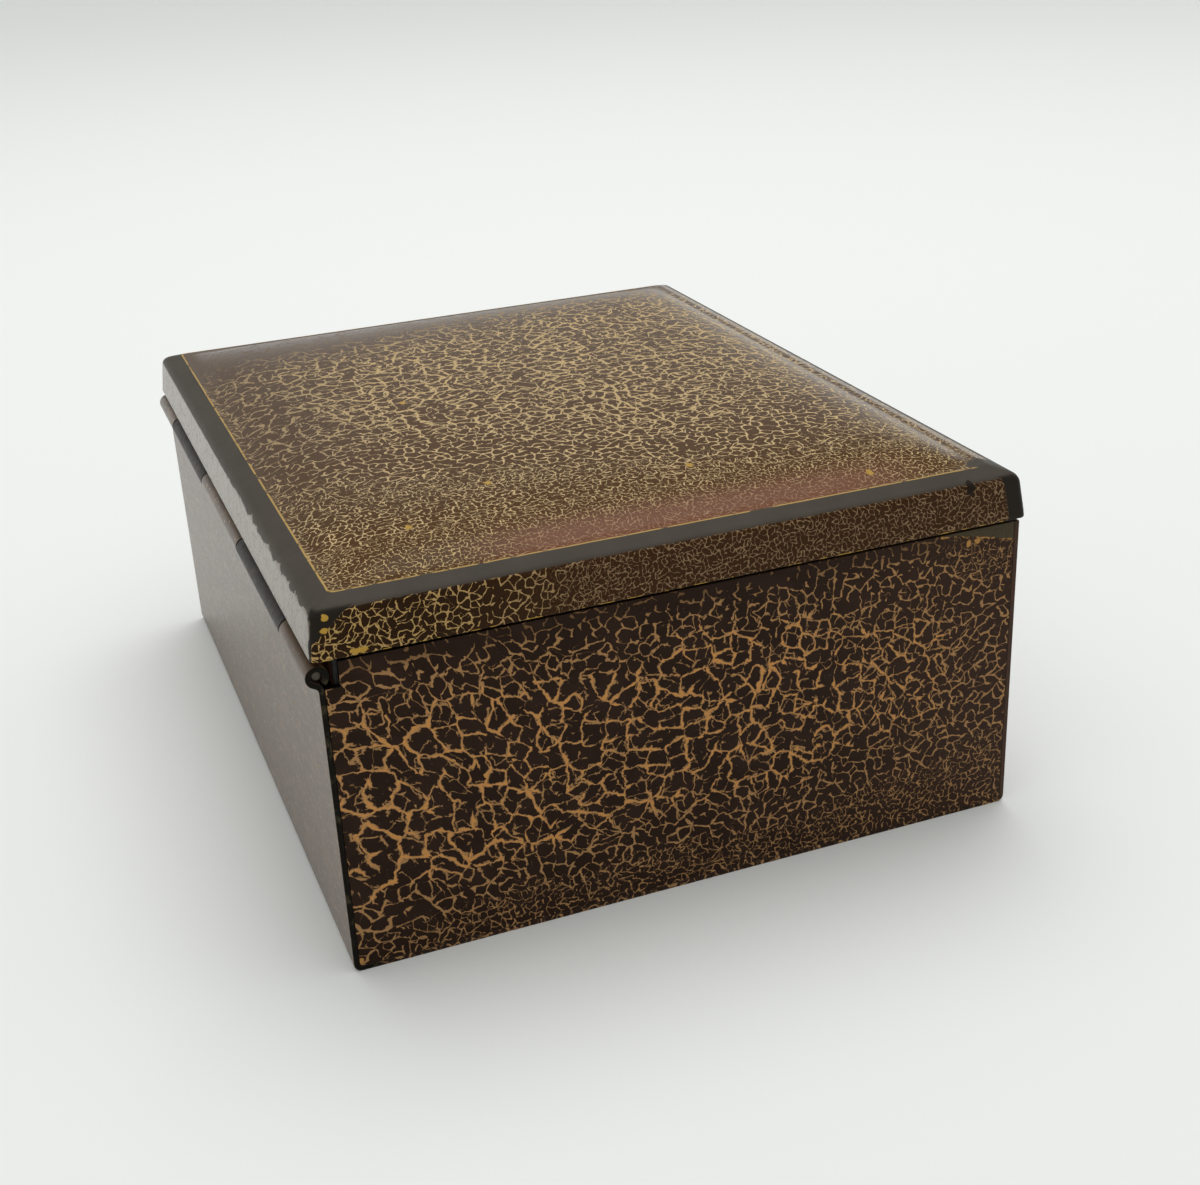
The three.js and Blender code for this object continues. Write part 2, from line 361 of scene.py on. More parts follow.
def dress(material, looks):
    """Feeds the named sockets of a material's shader."""
    shader = material.node_tree.nodes["Principled BSDF"]
    for socket, value in looks.items():
        feed(shader.inputs[socket], value)
    return material


def new_group(name, numbers, outlets):
    """An empty node group that takes a place and these numbers: its tree, its inlets by name and its
    outlet node."""
    tree = bpy.data.node_groups.new(name, "ShaderNodeTree")
    tree.interface.new_socket("Place", in_out="INPUT", socket_type="NodeSocketVector")
    for socket in numbers:
        tree.interface.new_socket(socket, in_out="INPUT", socket_type="NodeSocketFloat")
    for socket in outlets:
        tree.interface.new_socket(socket, in_out="OUTPUT", socket_type="NodeSocketFloat")
    inlet = tree.nodes.new("NodeGroupInput")
    outlet = tree.nodes.new("NodeGroupOutput")
    return tree, {socket: Wire(inlet.outputs[socket]) for socket in ["Place", *numbers]}, outlet


def use_group(group, *values):
    """The outlets of a node group used with these values, in the order of its inlets."""
    return outlets_of(new_node(values[0].tree, "ShaderNodeGroup", values, node_tree=group))


# Crackle lacquer

SHUT_MARGIN = 0.12
CLOSED_MARGIN = 0.05
CRACK_EDGE = 0.035
MAIN_CELL = 2.6
BRANCH_CELL = 1.55
HAIR_CELL = 0.95
MAIN_HALF = 0.24
BRANCH_HALF = 0.17
HAIR_HALF = 0.13
BRANCH_SPUR = 0.05
HAIR_SPUR = 0.08
WANDER_BLOTCH = 1.7
WANDER_REACH = 1.3
JAG_CELL = 0.48
CENTRED = (0.5, 0.5, 0.5)


def seeds(place, cell, feature):
    """Where the nearest (F1) or second nearest (F2) of the scattered seeds lies."""
    values = {"Vector": place, "Scale": 1 / cell}
    settings = {"voronoi_dimensions": "2D", "feature": feature}
    return new_node(place.tree, "ShaderNodeTexVoronoi", values, "Position", **settings)


def crack_net(cell, name):
    """One net of cracks. A crack may open along the line halfway between a point's two nearest seeds,
    which are scattered a cell apart. Its depth is its half width, which grows towards its ends, less the
    distance to that line. Each line draws by lot whether it is open, how wide it is and whether it runs
    out to a point."""
    tree, given, outlet = new_group(name, ["Half", "Open", "Pointed"], ["Depth"])
    place = given["Place"]
    nearest = seeds(place, cell, "F1")
    second = seeds(place, cell, "F2")
    both = on_places("ADD", nearest, second)
    across = on_places("NORMALIZE", on_places("SUBTRACT", second, nearest))
    across_x, across_y, _ = parts_of(across)
    offset_x, offset_y, _ = parts_of(on_places("SUBTRACT", scaled(both, 0.5), place))
    distance = offset_x * across_x + offset_y * across_y
    along = (offset_y * across_x - offset_x * across_y) * across_y.sign()
    lot = new_node(tree, "ShaderNodeTexWhiteNoise", {"Vector": both}, "Color", noise_dimensions="3D")
    open_lot, point_lot, width_lot = parts_of(lot)
    narrowing = (0.55 - along * (1.4 / cell)).share()
    flare = (along * along * (3.0 / cell ** 2)).at_most(0.5) + 0.9
    width = 1.0 - point_lot.less_than(given["Pointed"]) * (1.0 - narrowing)
    width = width * open_lot.less_than(given["Open"])
    shut = (1.0 - width) * SHUT_MARGIN + CLOSED_MARGIN
    depth = given["Half"] * width * flare * (width_lot * 0.5 + 0.6) - distance - shut
    feed(outlet.inputs["Depth"], depth)
    return tree


def crackle_group():
    """Three nets of cracks, each finer than the last, over a place pushed about so that no line is
    straight. Where Coarse is 1 the main net gapes, the branch net is thin and the hair net only sprouts
    as spurs; as it falls to 0 the branch net and then the hair net take over. Broken is how much of the
    nets is shut, pointed or jagged. Crack is 1 in a crack, with ragged sides; Gape is 1 in the wide ones
    alone."""
    tree, given, outlet = new_group("crackle", ["Coarse", "Open", "Broken"], ["Crack", "Gape"])
    place = given["Place"]
    coarse = given["Coarse"]
    broken = given["Broken"]
    wander = on_places("SUBTRACT", noise(place, WANDER_BLOTCH, output="Color"), CENTRED)
    jag_values = {"Vector": place, "Scale": 1 / JAG_CELL}
    jag = new_node(tree, "ShaderNodeTexVoronoi", jag_values, "Color", voronoi_dimensions="2D")
    jagged = on_places("SUBTRACT", jag, CENTRED)
    pushed = on_places("ADD", place, scaled(wander, WANDER_REACH))
    pushed = on_places("ADD", pushed, scaled(jagged, (coarse * 0.24 + 0.1) * broken))

    def net(name, cell, half, shut, pointed):
        opened = given["Open"] * (1.0 - broken * shut)
        group = crack_net(cell, name)
        return use_group(group, pushed, half, opened, broken * pointed)[0]

    main_share = coarse.step(0.35, 0.85)
    gaping = coarse.step(0.5, 0.9)
    branch_share = coarse.step(0.0, 0.35) * (1.0 - gaping * 0.35)
    hair_share = 1.0 - coarse.step(0.1, 0.5)
    main = net("main_cracks", MAIN_CELL, main_share * MAIN_HALF, 0.12, 0.45)
    by_main = main.step(-0.6, 0.0) * main_share
    branch_half = branch_share * BRANCH_HALF + by_main * BRANCH_SPUR
    branch = net("branch_cracks", BRANCH_CELL, branch_half, gaping * 0.5 + 0.12, 0.55)
    wide = main.at_least(branch)
    by_wide = wide.step(-0.35, 0.0) * main_share
    hair = net("hair_cracks", HAIR_CELL, hair_share * HAIR_HALF + by_wide * HAIR_SPUR, 0.16, 0.55)
    ragged = (noise(place, 0.3) - 0.5) * 0.1
    feed(outlet.inputs["Crack"], (wide.at_least(hair) + ragged).step(-CRACK_EDGE, CRACK_EDGE))
    feed(outlet.inputs["Gape"], (main + ragged).step(0.0, 0.2))
    return tree


CRACKLE = crackle_group()

# Colours, as they read on a screen
ISLAND_BLACK = paint(40, 26, 18)
ISLAND_BROWN = paint(46, 31, 23)
ISLAND_FADED = paint(54, 37, 27)
OCHRE = paint(196, 138, 76)
OCHRE_PALE = paint(154, 118, 79)
OCHRE_SHADED = paint(92, 68, 44)
RIM_GOLD = paint(172, 126, 68)
# Lighter browns and pale specks for the back wall, partly its brown lacquer and partly painted sheen.
BACK_BROWNS_AND_SHEEN = (paint(78, 56, 34), paint(102, 79, 52))
BACK_SPECK_AND_SHEEN = paint(158, 134, 98)
LID_ISLANDS = (paint(77, 49, 14), paint(112, 70, 47))
# The next three colours are paler tones painted as the lid's grazing sheen, on the dome's far and hinge
# sides and on the rear skirt.
LID_ISLAND_PAINTED_SHEEN = paint(84, 66, 50)
LID_GOLD_PAINTED_SHEEN = paint(108, 90, 72)
REAR_SHEEN_BROWN = paint(102, 82, 56)
LID_GOLD = paint(184, 156, 108)
LID_GOLD_DULL = paint(202, 174, 126)
LID_GOLD_WARM = paint(160, 126, 100)
SKIRT_ISLANDS = (paint(44, 28, 14), paint(58, 37, 19))
SKIRT_GOLDS = (paint(180, 147, 92), paint(140, 113, 84))
BAND = (paint(59, 53, 46), paint(75, 68, 59))
BARE_DARK = paint(38, 33, 27)
STRIPE_GOLD = paint(176, 144, 84)
CHIP_GOLD = paint(180, 142, 62)
OLIVE_BARE = paint(70, 62, 45)
RUST_BROWN = paint(78, 60, 42)
EDGE_DARK = paint(20, 18, 13)
EDGE_WORN = paint(58, 52, 37)
EDGE_BROWN = paint(70, 52, 42)
DRIP_DARK = paint(36, 28, 21)
ENAMEL = (paint(52, 38, 30), paint(74, 54, 40))
LEAF_DARK = (paint(48, 42, 38), paint(80, 68, 58))
STEEL = (paint(62, 58, 52), paint(96, 91, 82))
CEDAR = (paint(168, 112, 74), paint(132, 78, 48))
CEDAR_PORE = paint(92, 52, 32)
# Painted shade for the boards' ends that show through the notch beside the hinge.
CEDAR_PAINTED_SHADE = paint(18, 12, 9)

# Settings that the lacquers share
TINT = {"Specular Tint": (0.2, 0.2, 0.2, 1.0)}
LACQUER = {"Specular IOR Level": 0.2, **TINT}
WRAP_SHINE = 0.17
BREAKS = 0.6


def chip(across, up, centre, reach, ragged):
    """1 inside a ragged oval at a centre that reaches this far across and up, and 0 outside: the squared
    distance in reaches, roughened, falls below 1."""
    aside = (across - centre[0]) / reach[0]
    above = (up - centre[1]) / reach[1]
    return 1.0 - (aside * aside + above * above + ragged).step(0.75, 1.25)


def any_of(chips):
    """1 where any of the chips is."""
    together = chips[0]
    for one in chips[1:]:
        together = together.at_least(one)
    return together


def dark_islands(skin):
    """Colour of the body's lacquer between the cracks, in two soft tones."""
    return mixed(noise(skin, 6.0).step(0.4, 0.65), ISLAND_BLACK, ISLAND_BROWN)


WEDGE_LENGTH = 10.0
WEDGE_DEPTH = 2.0
LID_SHADE = (RIM_Z - 3.0, RIM_Z - 0.4)

# Chips in the near plate, as the distance from the hinge end and the height, with their reach
PLATE_CHIPS = [((0.15, 1.3), (0.3, 0.4)), ((76.8, 36.2), (0.4, 0.3)), ((75.6, 36.0), (0.25, 0.4))]


def plate_lacquer():
    """Near-black lacquer crackled over ochre: satin islands and rougher cracks. Under the lid the cracks are
    partly shut and their ochre is painted darker, as the lid's shade. At the near plate's far upper corner
    it has come off in a long wedge with a gold rim. The field lay gives the coarseness and how faded the
    islands are."""
    material, place = new_material("plate_lacquer")
    skin = field(place, "skin")
    coarse, faded, _ = parts_of(field(place, "lay"))
    x, y, z = parts_of(place)
    under_lid_shade = z.step(*LID_SHADE)
    crack, gape = use_group(CRACKLE, skin, coarse, 1.0 - under_lid_shade * 0.4, BREAKS)
    island = mixed(faded, dark_islands(skin), ISLAND_FADED)
    ochre = mixed(gape * 0.8 + noise(skin, 1.2) * 0.2, OCHRE_PALE, OCHRE)
    # The ochre is painted darker under the lid, as the lid's shade.
    ochre = mixed(under_lid_shade * 0.8, ochre, OCHRE_SHADED)
    colour = mixed(crack, island, ochre)
    ragged = noise(place, 0.9, 4.0) - 0.5
    waves = noise(place, 2.6) - 0.5
    wedge_share = 1.0 - (y + PLATE_EDGE) / WEDGE_LENGTH
    wedge = wedge_share * WEDGE_DEPTH - (RIM_Z - z) + ragged * 0.8 + waves
    near = x.less_than(0.0)
    rim = wedge.step(-0.2, -0.12) * noise(place, 0.8, 3.0).step(0.46, 0.54)
    across = PLATE_EDGE - y
    chips = any_of([chip(across, z, *spot, ragged * 5.0) for spot in PLATE_CHIPS])
    colour = mixed(rim.at_least(chips) * near, colour, RIM_GOLD)
    return dress(material, {
        **LACQUER,
        "Base Color": mixed(wedge.step(-0.05, 0.05) * near, colour, OLIVE_BARE),
        "Roughness": crack * 0.25 + noise(skin, 0.8) * 0.1 + 0.27,
        "Normal": relief(1.0 - crack, 0.05),
    })


def wrap_lacquer():
    """The same lacquer on the folded sheet, finer and glossier. The back is painted lighter brown, mottled
    and
    specked pale: partly its own brown lacquer, partly painted sheen, the grazing reflection on its fine
    crackle. The field lay gives the coarseness, how open the cracks are and how worn the lacquer."""
    material, place = new_material("wrap_lacquer")
    skin = field(place, "skin")
    coarse, opened, worn = parts_of(field(place, "lay"))
    _, y, _ = parts_of(place)
    on_back = y.step(HALF_DEPTH - 3.0, HALF_DEPTH - 1.0)
    crack, gape = use_group(CRACKLE, skin, coarse, opened, BREAKS)
    drawn_out = on_places("MULTIPLY", place, (0.4, 1.0, 1.0))
    # On the back, the lighter browns, mottling and pale specks are partly painted sheen.
    mottle = noise(drawn_out, 1.6, 6.0).step(0.4, 0.72)
    speck = noise(drawn_out, 0.35, 2.0).step(0.62, 0.72) * 0.9
    back = mixed(speck, mixed(mottle, *BACK_BROWNS_AND_SHEEN), BACK_SPECK_AND_SHEEN)
    island = mixed(on_back, dark_islands(skin), back)
    colour = mixed(crack, island, mixed(gape, OCHRE_PALE, OCHRE))
    rubbed = (noise(skin, 0.7) + worn - 1.0).step(-0.1, 0.1)
    return dress(material, {
        **TINT,
        "Base Color": mixed(rubbed, colour, RUST_BROWN),
        "Roughness": crack * 0.2 + noise(skin, 0.8) * 0.1 + 0.25,
        "Normal": relief(1.0 - crack, 0.03),
        "Coat Weight": rubbed * -0.24 + 0.3,
        "Coat Roughness": 0.27,
        "Specular IOR Level": WRAP_SHINE,
    })


PINSTRIPE = 0.11
BAND_END = BAND_WIDTH - 0.1
REAR_BAND_MORE = 0.65
REAR_BARE = 1.1
SIDE_BARE = 2.8
HINGE_BARE_MORE = 1.4
NEAR_EDGE = -36.0
EDGE_FINENESS = 1.35
EDGE_COARSE = 0.12
LID_OPEN = 0.87
LID_BREAKS = 0.3
STRIPE_START = (4.6, 5.6)
CHIPPED_REAR = (5.0, -25.0)

# Chips down to the lid's gold: on the near skirt as the distance from the hinge corner and the height over
# its edge, with their reach, and on the dome as X and Y
SKIRT_CHIPS = [((2.1, 4.5), (0.35, 0.32)), ((1.9, 3.2), (0.4, 0.28)), ((5.0, 0.5), (1.0, 0.32))]
DOME_CHIPS = [(-31.1, 16.2), (-36.4, -6.4), (1.9, 17.1), (-38.9, 27.7), (-45.3, -24.8)]
DOME_CHIP_REACH = (0.55, 0.4)

# A dark drip on the near skirt, as the distance from the hinge corner and outwards from the pinstripe
DARK_DRIP = ((76.8, BAND_END + 0.3), (0.55, 1.0))

# Where the dark of the band has spread over the near front corner of the dome
DARK_CORNER = ((-DOME_HALF_X, -DOME_HALF_Y), (2.6, 2.6))


def lid_crackled(place, skin, lay, outwards):
    """Colour of the lid's crackled dome and skirt, and 1 in their cracks, which are finer along the dome's
    near edge. Where lay's painted sheen is high, fewer cracks open and islands and cracks are painted paler,
    as the grazing sheen on the dome's far and hinge sides and on the rear skirt."""
    coarse, painted_sheen, warm = parts_of(lay)
    own, gape = use_group(CRACKLE, skin, coarse, LID_OPEN - painted_sheen * 0.45, LID_BREAKS)
    on_skirt = outwards.step(BAND_END - 0.2, BAND_END)
    x, _, _ = parts_of(place)
    edge_x = x + noise(place, 2.5) * 8.0
    at_edge = (1.0 - edge_x.step(NEAR_EDGE - 1.0, NEAR_EDGE + 1.0)) * (1.0 - on_skirt)
    fine, _ = use_group(CRACKLE, scaled(skin, EDGE_FINENESS), EDGE_COARSE, LID_OPEN, LID_BREAKS)
    crack = fine * at_edge + own * (1.0 - at_edge)
    dome_island = mixed(painted_sheen, mixed(warm, *LID_ISLANDS), LID_ISLAND_PAINTED_SHEEN)
    skirt_island = mixed(painted_sheen, mixed(warm, *SKIRT_ISLANDS), REAR_SHEEN_BROWN)
    island = mixed(on_skirt, dome_island, skirt_island)
    bright = gape * 0.6 + noise(skin, 1.4) * 0.4
    dome_gold = mixed(warm, mixed(bright, LID_GOLD_DULL, LID_GOLD), LID_GOLD_WARM)
    dome_gold = mixed(painted_sheen, dome_gold, LID_GOLD_PAINTED_SHEEN)
    skirt_gold = mixed(painted_sheen, mixed(warm, *SKIRT_GOLDS), LID_GOLD_PAINTED_SHEEN)
    return mixed(crack, island, mixed(on_skirt, dome_gold, skirt_gold)), crack


def lid_dark(place, outwards, from_corner, rear):
    """1 on the plain band, on the skirts' bare ends and where the dark has spread over a corner of the
    dome, and the colour there. The side skirts' bare ends narrow downwards at the hinge, and the band's
    lower edge is chipped on the near half of the rear skirt."""
    x, y, _ = parts_of(place)
    chipped = rear * x.step(*CHIPPED_REAR)
    ragged = (noise(place, 0.5) - 0.5) * 0.35 + (noise(place, 1.6, 4.0) - 0.5) * chipped * 2.6
    band_end = rear * REAR_BAND_MORE + BAND_END
    on_band = outwards.step(0.0, 0.05) * (1.0 - (outwards + ragged - band_end).step(-0.06, 0.06))
    down_skirt = (outwards - BAND_END) / SKIRT_HEIGHT
    side_reach = SIDE_BARE + y.step(0.0, 1.0) * (HINGE_BARE_MORE - down_skirt * 5.5)
    reach = side_reach * (1.0 - rear) + rear * REAR_BARE
    bare = (reach - from_corner + ragged).step(-0.1, 0.1) * outwards.step(BAND_END - 0.5, BAND_END)
    spread = chip(x, y, *DARK_CORNER, ragged * 2.0) * outwards.less_than(0.1)
    band = mixed(noise(place, 5.0, 4.0), *BAND)
    return any_of([on_band, bare, spread]), mixed(bare, band, BARE_DARK)


def lid_stripe(place, outwards):
    """1 on the gold pinstripe, which wavers, is broken here and there and is missing along the front."""
    _, y, _ = parts_of(place)
    wobble = (noise(place, 3.0) - 0.5) * 0.12
    line = 1.0 - (outwards + wobble).size().step(PINSTRIPE - 0.03, PINSTRIPE + 0.03)
    return line * noise(place, 1.5, 3.0).step(0.32, 0.46) * (y + LID_HALF_Y).step(*STRIPE_START)


def lid_chips(place, outwards):
    """1 where the lid's lacquer is chipped or rubbed to the gold below, and 1 on the dark drip."""
    x, y, z = parts_of(place)
    ragged = (noise(place, 0.4, 4.0) - 0.5) * 3.6
    from_hinge = LID_HALF_Y - y
    height = z - LID_BASE
    near_skirt = x.less_than(-DOME_HALF_X)
    on_skirt = any_of([chip(from_hinge, height, *spot, ragged) for spot in SKIRT_CHIPS]) * near_skirt
    dome_chips = any_of([chip(x, y, spot, DOME_CHIP_REACH, ragged) for spot in DOME_CHIPS])
    rubbed = (1.0 - height.step(0.1, 0.18)) * noise(place, 1.0, 3.0).step(0.54, 0.6) * near_skirt
    drip = chip(from_hinge, outwards, *DARK_DRIP, ragged) * near_skirt
    return any_of([on_skirt, dome_chips * outwards.less_than(0.0), rubbed]), drip


def lid_lacquer():
    """The lid's outside: a finely crackled dome, a gold pinstripe, a plain dark band and a crackled skirt
    with bare ends. The field lay gives the coarseness, the painted sheen and the warmth; border the distance
    outwards from the pinstripe, the distance along a side from its corner and 1 on the glossy rear; skin's
    third number is the polish of the front shoulder."""
    material, place = new_material("lid_lacquer")
    outwards, from_corner, rear = parts_of(field(place, "border"))
    skin = field(place, "skin")
    _, _, polish = parts_of(skin)
    colour, crack = lid_crackled(place, skin, field(place, "lay"), outwards)
    dark, dark_colour = lid_dark(place, outwards, from_corner, rear)
    stripe = lid_stripe(place, outwards)
    chips, drip = lid_chips(place, outwards)
    colour = mixed(dark, colour, dark_colour)
    colour = mixed(stripe, colour, STRIPE_GOLD)
    colour = mixed(chips, colour, CHIP_GOLD)
    plain = dark.at_least(stripe)
    dull = (crack * 0.2).at_least(plain * 0.18)
    return dress(material, {
        **LACQUER,
        "Base Color": mixed(drip, colour, DRIP_DARK),
        "Roughness": dull + noise(place, 1.0) * 0.1 + 0.25,
        "Normal": relief((1.0 - crack).at_least(plain), 0.03),
        "Coat Weight": (rear * 0.7 + polish) * (1.0 - dark),
        "Coat Roughness": 0.25,
    })


HINGE_END_GRAIN = 1.24
MIDDLE_GRAIN = 0.95
FAR_END_GRAIN = 0.86
CRACK_FLATNESS = 1.15
EDGE_DARKENS = (-36.0, 30.0)
EDGE_FOOT = (1.0, 0.6)
FOOT_COARSE = 0.3
HINGE_CORNER = (40.0, 36.0)


def cut_edge():
    """Cut edge of the sheet: dark at the hinge, browner at the front and rubbed lighter in places. At the
    foot, except in the hinge corner, the plate's crackle lacquer runs on over it."""
    material, place = new_material("cut_edge")
    rubbed = noise(place, 1.2, 4.0).step(0.52, 0.68)
    _, y, z = parts_of(place)
    flat = new_node(place.tree, "ShaderNodeCombineXYZ", [PLATE_EDGE - y, z])
    skin = scaled(flat, 1 / MIDDLE_GRAIN)
    crack, _ = use_group(CRACKLE, skin, FOOT_COARSE, 1.0, BREAKS)
    lacquer = mixed(crack, ISLAND_BROWN, OCHRE_PALE)
    edge = mixed(y.step(*EDGE_DARKENS), EDGE_BROWN, EDGE_DARK)
    edge = mixed(rubbed, edge, EDGE_WORN)
    at_foot = z.step(*EDGE_FOOT) * y.step(*HINGE_CORNER)
    return dress(material, {
        **LACQUER,
        "Base Color": mixed(at_foot, edge, lacquer),
        "Roughness": rubbed * -0.1 + 0.6,
        "Normal": relief(noise(place, 0.4), 0.04),
    })


def inside_enamel():
    """Plain dark brown enamel on the hidden sides of the sheets and inside the lid."""
    material, place = new_material("inside_enamel")
    return dress(material, {
        "Base Color": mixed(noise(place, 9.0, 4.0).step(0.35, 0.7), *ENAMEL),
        "Roughness": noise(place, 1.5) * 0.2 + 0.35,
        "Normal": relief(noise(place, 0.9), 0.02),
    })


def leaf_lacquer():
    """Dark lacquer on the hinge leaf, dull and rubbed on the knuckles."""
    material, place = new_material("leaf_lacquer")
    return dress(material, {
        **TINT,
        "Base Color": mixed(noise(place, 1.6, 5.0).step(0.55, 0.75), *LEAF_DARK),
        "Roughness": noise(place, 0.8) * 0.25 + 0.4,
        "Normal": relief(noise(place, 0.5), 0.04),
    })


def pin_wire():
    """Dull darkened steel wire with faint drawing lines along it."""
    material, place = new_material("pin_wire")
    drawn = on_places("MULTIPLY", place, (0.05, 1.0, 1.0))
    lines = noise(drawn, 0.15, 3.0)
    return dress(material, {
        "Base Color": mixed(lines, *STEEL),
        "Roughness": lines * 0.2 + 0.4,
        "Normal": relief(lines, 0.01),
        "Metallic": 0.85,
    })


CEDAR_STRETCH = 0.06


def cedar(name, stretch):
    """Planed cedar: growth lines drawn out along the board, fine pores and a soft satin, painted dark as
    shade on the faces that lie against the side plates, which show through the notch beside the hinge."""
    material, place = new_material(name)
    grain = on_places("MULTIPLY", place, stretch)
    bands = (noise(grain, 3.5, 4.0) * 9.0).fraction().step(0.15, 0.9)
    pores = noise(grain, 0.35, 2.0).step(0.58, 0.72)
    planed = mixed(pores * 0.5, mixed(bands, *CEDAR), CEDAR_PORE)
    x, _, _ = parts_of(place)
    # The boards' ends by the side plates are painted dark, as the shade seen through the notch.
    shade_at_plates = x.size().step(HALF_WIDTH - 1.4, HALF_WIDTH - 1.0)
    return dress(material, {
        "Base Color": mixed(shade_at_plates, planed, CEDAR_PAINTED_SHADE),
        "Roughness": bands * 0.1 + 0.55,
        "Normal": relief(bands * -0.3 - pores, 0.03),
    })


# Folded sheet of the body

def sweep_start(offset):
    """How far from the hinge axis a sheet at this offset starts its sweep, to run into the curl smoothly."""
    return math.sqrt((SWEEP_RADIUS + CURL_RADIUS) ** 2 - (SWEEP_RADIUS + offset) ** 2)


def knuckle_line(offset):
    """Middle line of a knuckle about the axis: a sheet rises at this offset, sweeps out on one arc and
    curls round the pin on another that touches it."""
    sweep_y = SWEEP_RADIUS + offset
    sweep_z = -sweep_start(offset)
    meeting = math.atan2(sweep_z, sweep_y)
    sweep = arc((sweep_y, sweep_z), SWEEP_RADIUS, math.pi, math.pi + meeting, SWEEP_STEPS)
    return follow_on(sweep, arc((0, 0), CURL_RADIUS, meeting, CURL_END, CURL_STEPS))


def knuckle_ends():
    """Start and end along X of the five knuckles, each drawn in by half a gap where it meets another."""
    middle = 2 * (HALF_WIDTH - END_KNUCKLE) / 3
    edges = -HALF_WIDTH + np.cumsum([0, END_KNUCKLE, middle, middle, middle, END_KNUCKLE])
    drawn_in = np.array([0, 1, 1, 1, 1, 0]) * KNUCKLE_GAP / 2
    return np.stack([edges[:-1] + drawn_in[:-1], edges[1:] - drawn_in[1:]], axis=1)


def in_knuckles(x, which):
    """True for each stretch between stations that lies in one of these knuckles."""
    middle = (x[:-1] + x[1:]) / 2
    ends = knuckle_ends()[which]
    return ((middle[:, None] > ends[:, 0]) & (middle[:, None] < ends[:, 1])).any(axis=1)


def waver(u, v, length):
    """A faint unevenness of pressed sheet: three waves of about this length, crossing each other, from -1
    to 1."""
    turn = 2 * math.pi / length
    waves = np.sin(turn * (u + 0.3 * v)) + np.sin(turn * (0.8 * v - 0.5 * u) + 1.3)
    return (waves + np.sin(turn * 1.7 * u + 2.1)) / 3


WRAP_GRAIN = 0.7
FRONT_COARSE = 0.45
FRONT_PATCHES = 0.2
FRONT_PATCH_LENGTH = 60
BACK_COARSE = 0.05
BACK_OPEN = 0.12
KNUCKLE_WEAR = 0.55


def body_wrap():
    """Front wall, floor and back wall as one line through two folds, carried along X. Above the back wall
    it goes on into the curl, kept only where the body has a knuckle."""
    fold = FOLD_RADIUS - SHEET / 2
    wall_y = HALF_DEPTH - SHEET / 2
    fold_z = SHEET / 2 + fold
    wall_top = HINGE_Z - sweep_start(-SHEET / 2)
    front = straight((-wall_y, RIM_Z), (-wall_y, fold_z))
    front_fold = arc((-wall_y + fold, fold_z), fold, math.pi, 1.5 * math.pi, FOLD_STEPS)
    floor = straight((-wall_y + fold, SHEET / 2), (wall_y - fold, SHEET / 2))
    back_fold = arc((wall_y - fold, fold_z), fold, 1.5 * math.pi, 2 * math.pi, FOLD_STEPS)
    back = straight((wall_y, fold_z), (wall_y, wall_top))
    walls = follow_on(front, front_fold, floor, back_fold, back)
    line = follow_on(walls, knuckle_line(-SHEET / 2) + (HINGE_Y, HINGE_Z))
    x = stations(knuckle_ends().ravel())
    is_wall = np.arange(len(line) - 1) < len(walls) - 1
    kept = is_wall[:, None] | in_knuckles(x, [0, 2, 4])

    run = run_along(line)[:, None]
    front_end = run[len(front) - 1]
    back_start = run[len(walls) - len(back)]
    above_wall = run - run[len(walls) - 1]
    on_front = 1 - ramp(front_end - 1, front_end + 3, run)
    on_back = ramp(back_start - 2, back_start + 2, run)
    front_coarse = FRONT_COARSE + FRONT_PATCHES * waver(x, run, FRONT_PATCH_LENGTH)
    coarse = on_front * front_coarse + on_back * BACK_COARSE
    opened = on_front + on_back * BACK_OPEN * (1 - ramp(-1, 0.5, above_wall))
    end_knuckle_x = -HALF_WIDTH + END_KNUCKLE
    near_end = 1 - ramp(end_knuckle_x - 3, end_knuckle_x, x)
    worn = KNUCKLE_WEAR * ramp(0, 1.5, above_wall) * (0.5 + 0.5 * near_end)
    fields = {
        "skin": triples(x, run, 0) / WRAP_GRAIN,
        "lay": triples(coarse, opened, worn),
    }
    points = triples(x, line[:, :1], line[:, 1:])
    piece = sheet_piece("body_wrap_sheet", points, kept, fields, [WRAP_LACQUER, INSIDE_ENAMEL, CUT_EDGE])
    belongs(piece, "box", "body_wrap")


# Side plates

SHEET_WAVER = 0.025
WAVER_LENGTH = 45
WAVER_MARGIN = 8
FADES = (48, 80)
HINGE_GRAIN_END = 26
FAR_GRAIN_STARTS = (30, 80)
TINY = 1e-6


def to_round_corner(p, q, radius):
    """A square of this side drawn in to a quarter disc: each place keeps its direction from the inner
    corner, and its longer side becomes its distance."""
    longer = np.maximum(p, q)
    distance = np.maximum(np.hypot(p, q), TINY)
    inside = (p > 0) & (q > 0) & (longer <= radius + TINY)
    factor = np.where(inside, longer / distance, 1.0)
    return p * factor, q * factor


def plate_fields(from_hinge, z, skin_shift, coarse):
    """What the plate's lacquer reads: its own coordinates, finer and faded towards the far end, and its
    coarseness."""
    faded = 0.8 * ramp(*FADES, from_hinge)
    grain = HINGE_END_GRAIN - (HINGE_END_GRAIN - MIDDLE_GRAIN) * ramp(0, HINGE_GRAIN_END, from_hinge)
    grain -= (MIDDLE_GRAIN - FAR_END_GRAIN) * ramp(*FAR_GRAIN_STARTS, from_hinge)
    return {
        "skin": triples(from_hinge / grain + skin_shift, CRACK_FLATNESS * z / grain, 0),
        "lay": triples(coarse, faded, 0),
    }


